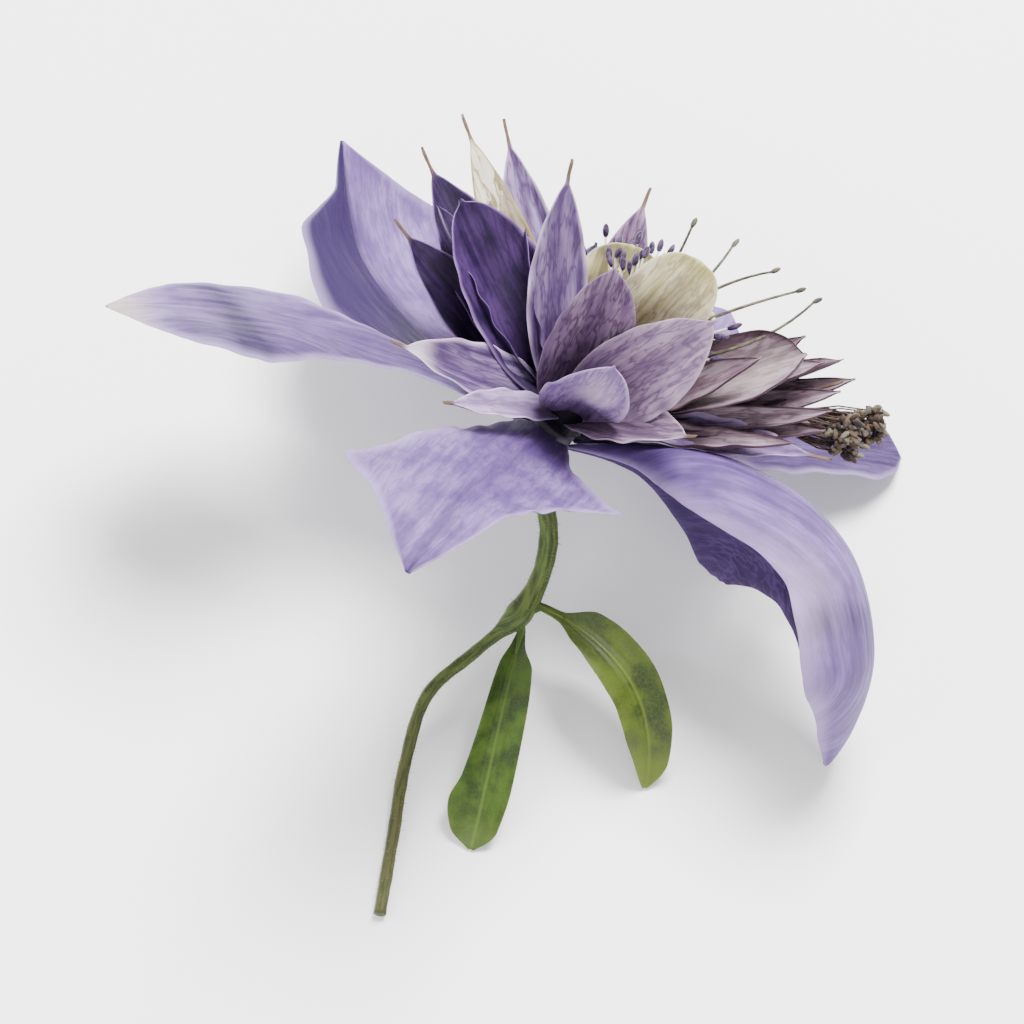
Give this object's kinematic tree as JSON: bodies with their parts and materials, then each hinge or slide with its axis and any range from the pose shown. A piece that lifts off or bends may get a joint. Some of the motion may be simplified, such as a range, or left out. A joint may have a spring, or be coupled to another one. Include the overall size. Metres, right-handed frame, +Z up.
{
  "type": "clematis flower",
  "caption": "Double violet clematis bloom with spiky inner petaloids and a cream centre, picked with a short stalk and a pair of small leaves, lying on a surface.",
  "frame": {"origin": "on the surface that the flower lies on, below the middle of its bounding box", "axes": "+Z up from the surface; +X to the right and +Y away from a viewer who looks down on the flower with its cut stem towards them"},
  "size_m": [0.1245, 0.1231, 0.069],
  "materials": {
    "outer_petal": "soft satin petal, lavender blue with darker bars and fine veins",
    "inner_petaloid": "velvety, deep violet with silvery lilac streaks",
    "cream_petaloid": "soft matt, cream with a green base and violet veins",
    "stamen": "powdery purple anthers on cream filaments",
    "style": "silky, yellow-green",
    "stalk": "matt, finely downy green stem, browner towards the cut",
    "leaf": "satin, leathery, with sunken veins"
  },
  "bodies": {
    "root": {"stalk": "stalk", "leaf_arched": "leaf", "leaf_hanging": "leaf", "petal_left": "outer_petal", "petal_upper_left": "outer_petal", "petal_front": "outer_petal", "petal_right_drooping": "outer_petal", "petal_right": "outer_petal", "petal_back_right": "outer_petal", "petal_back": "outer_petal", "inner_petaloids": "inner_petaloid", "cream_petaloids": "cream_petaloid", "stamens": "stamen", "styles": "style"}
  },
  "joints": []
}
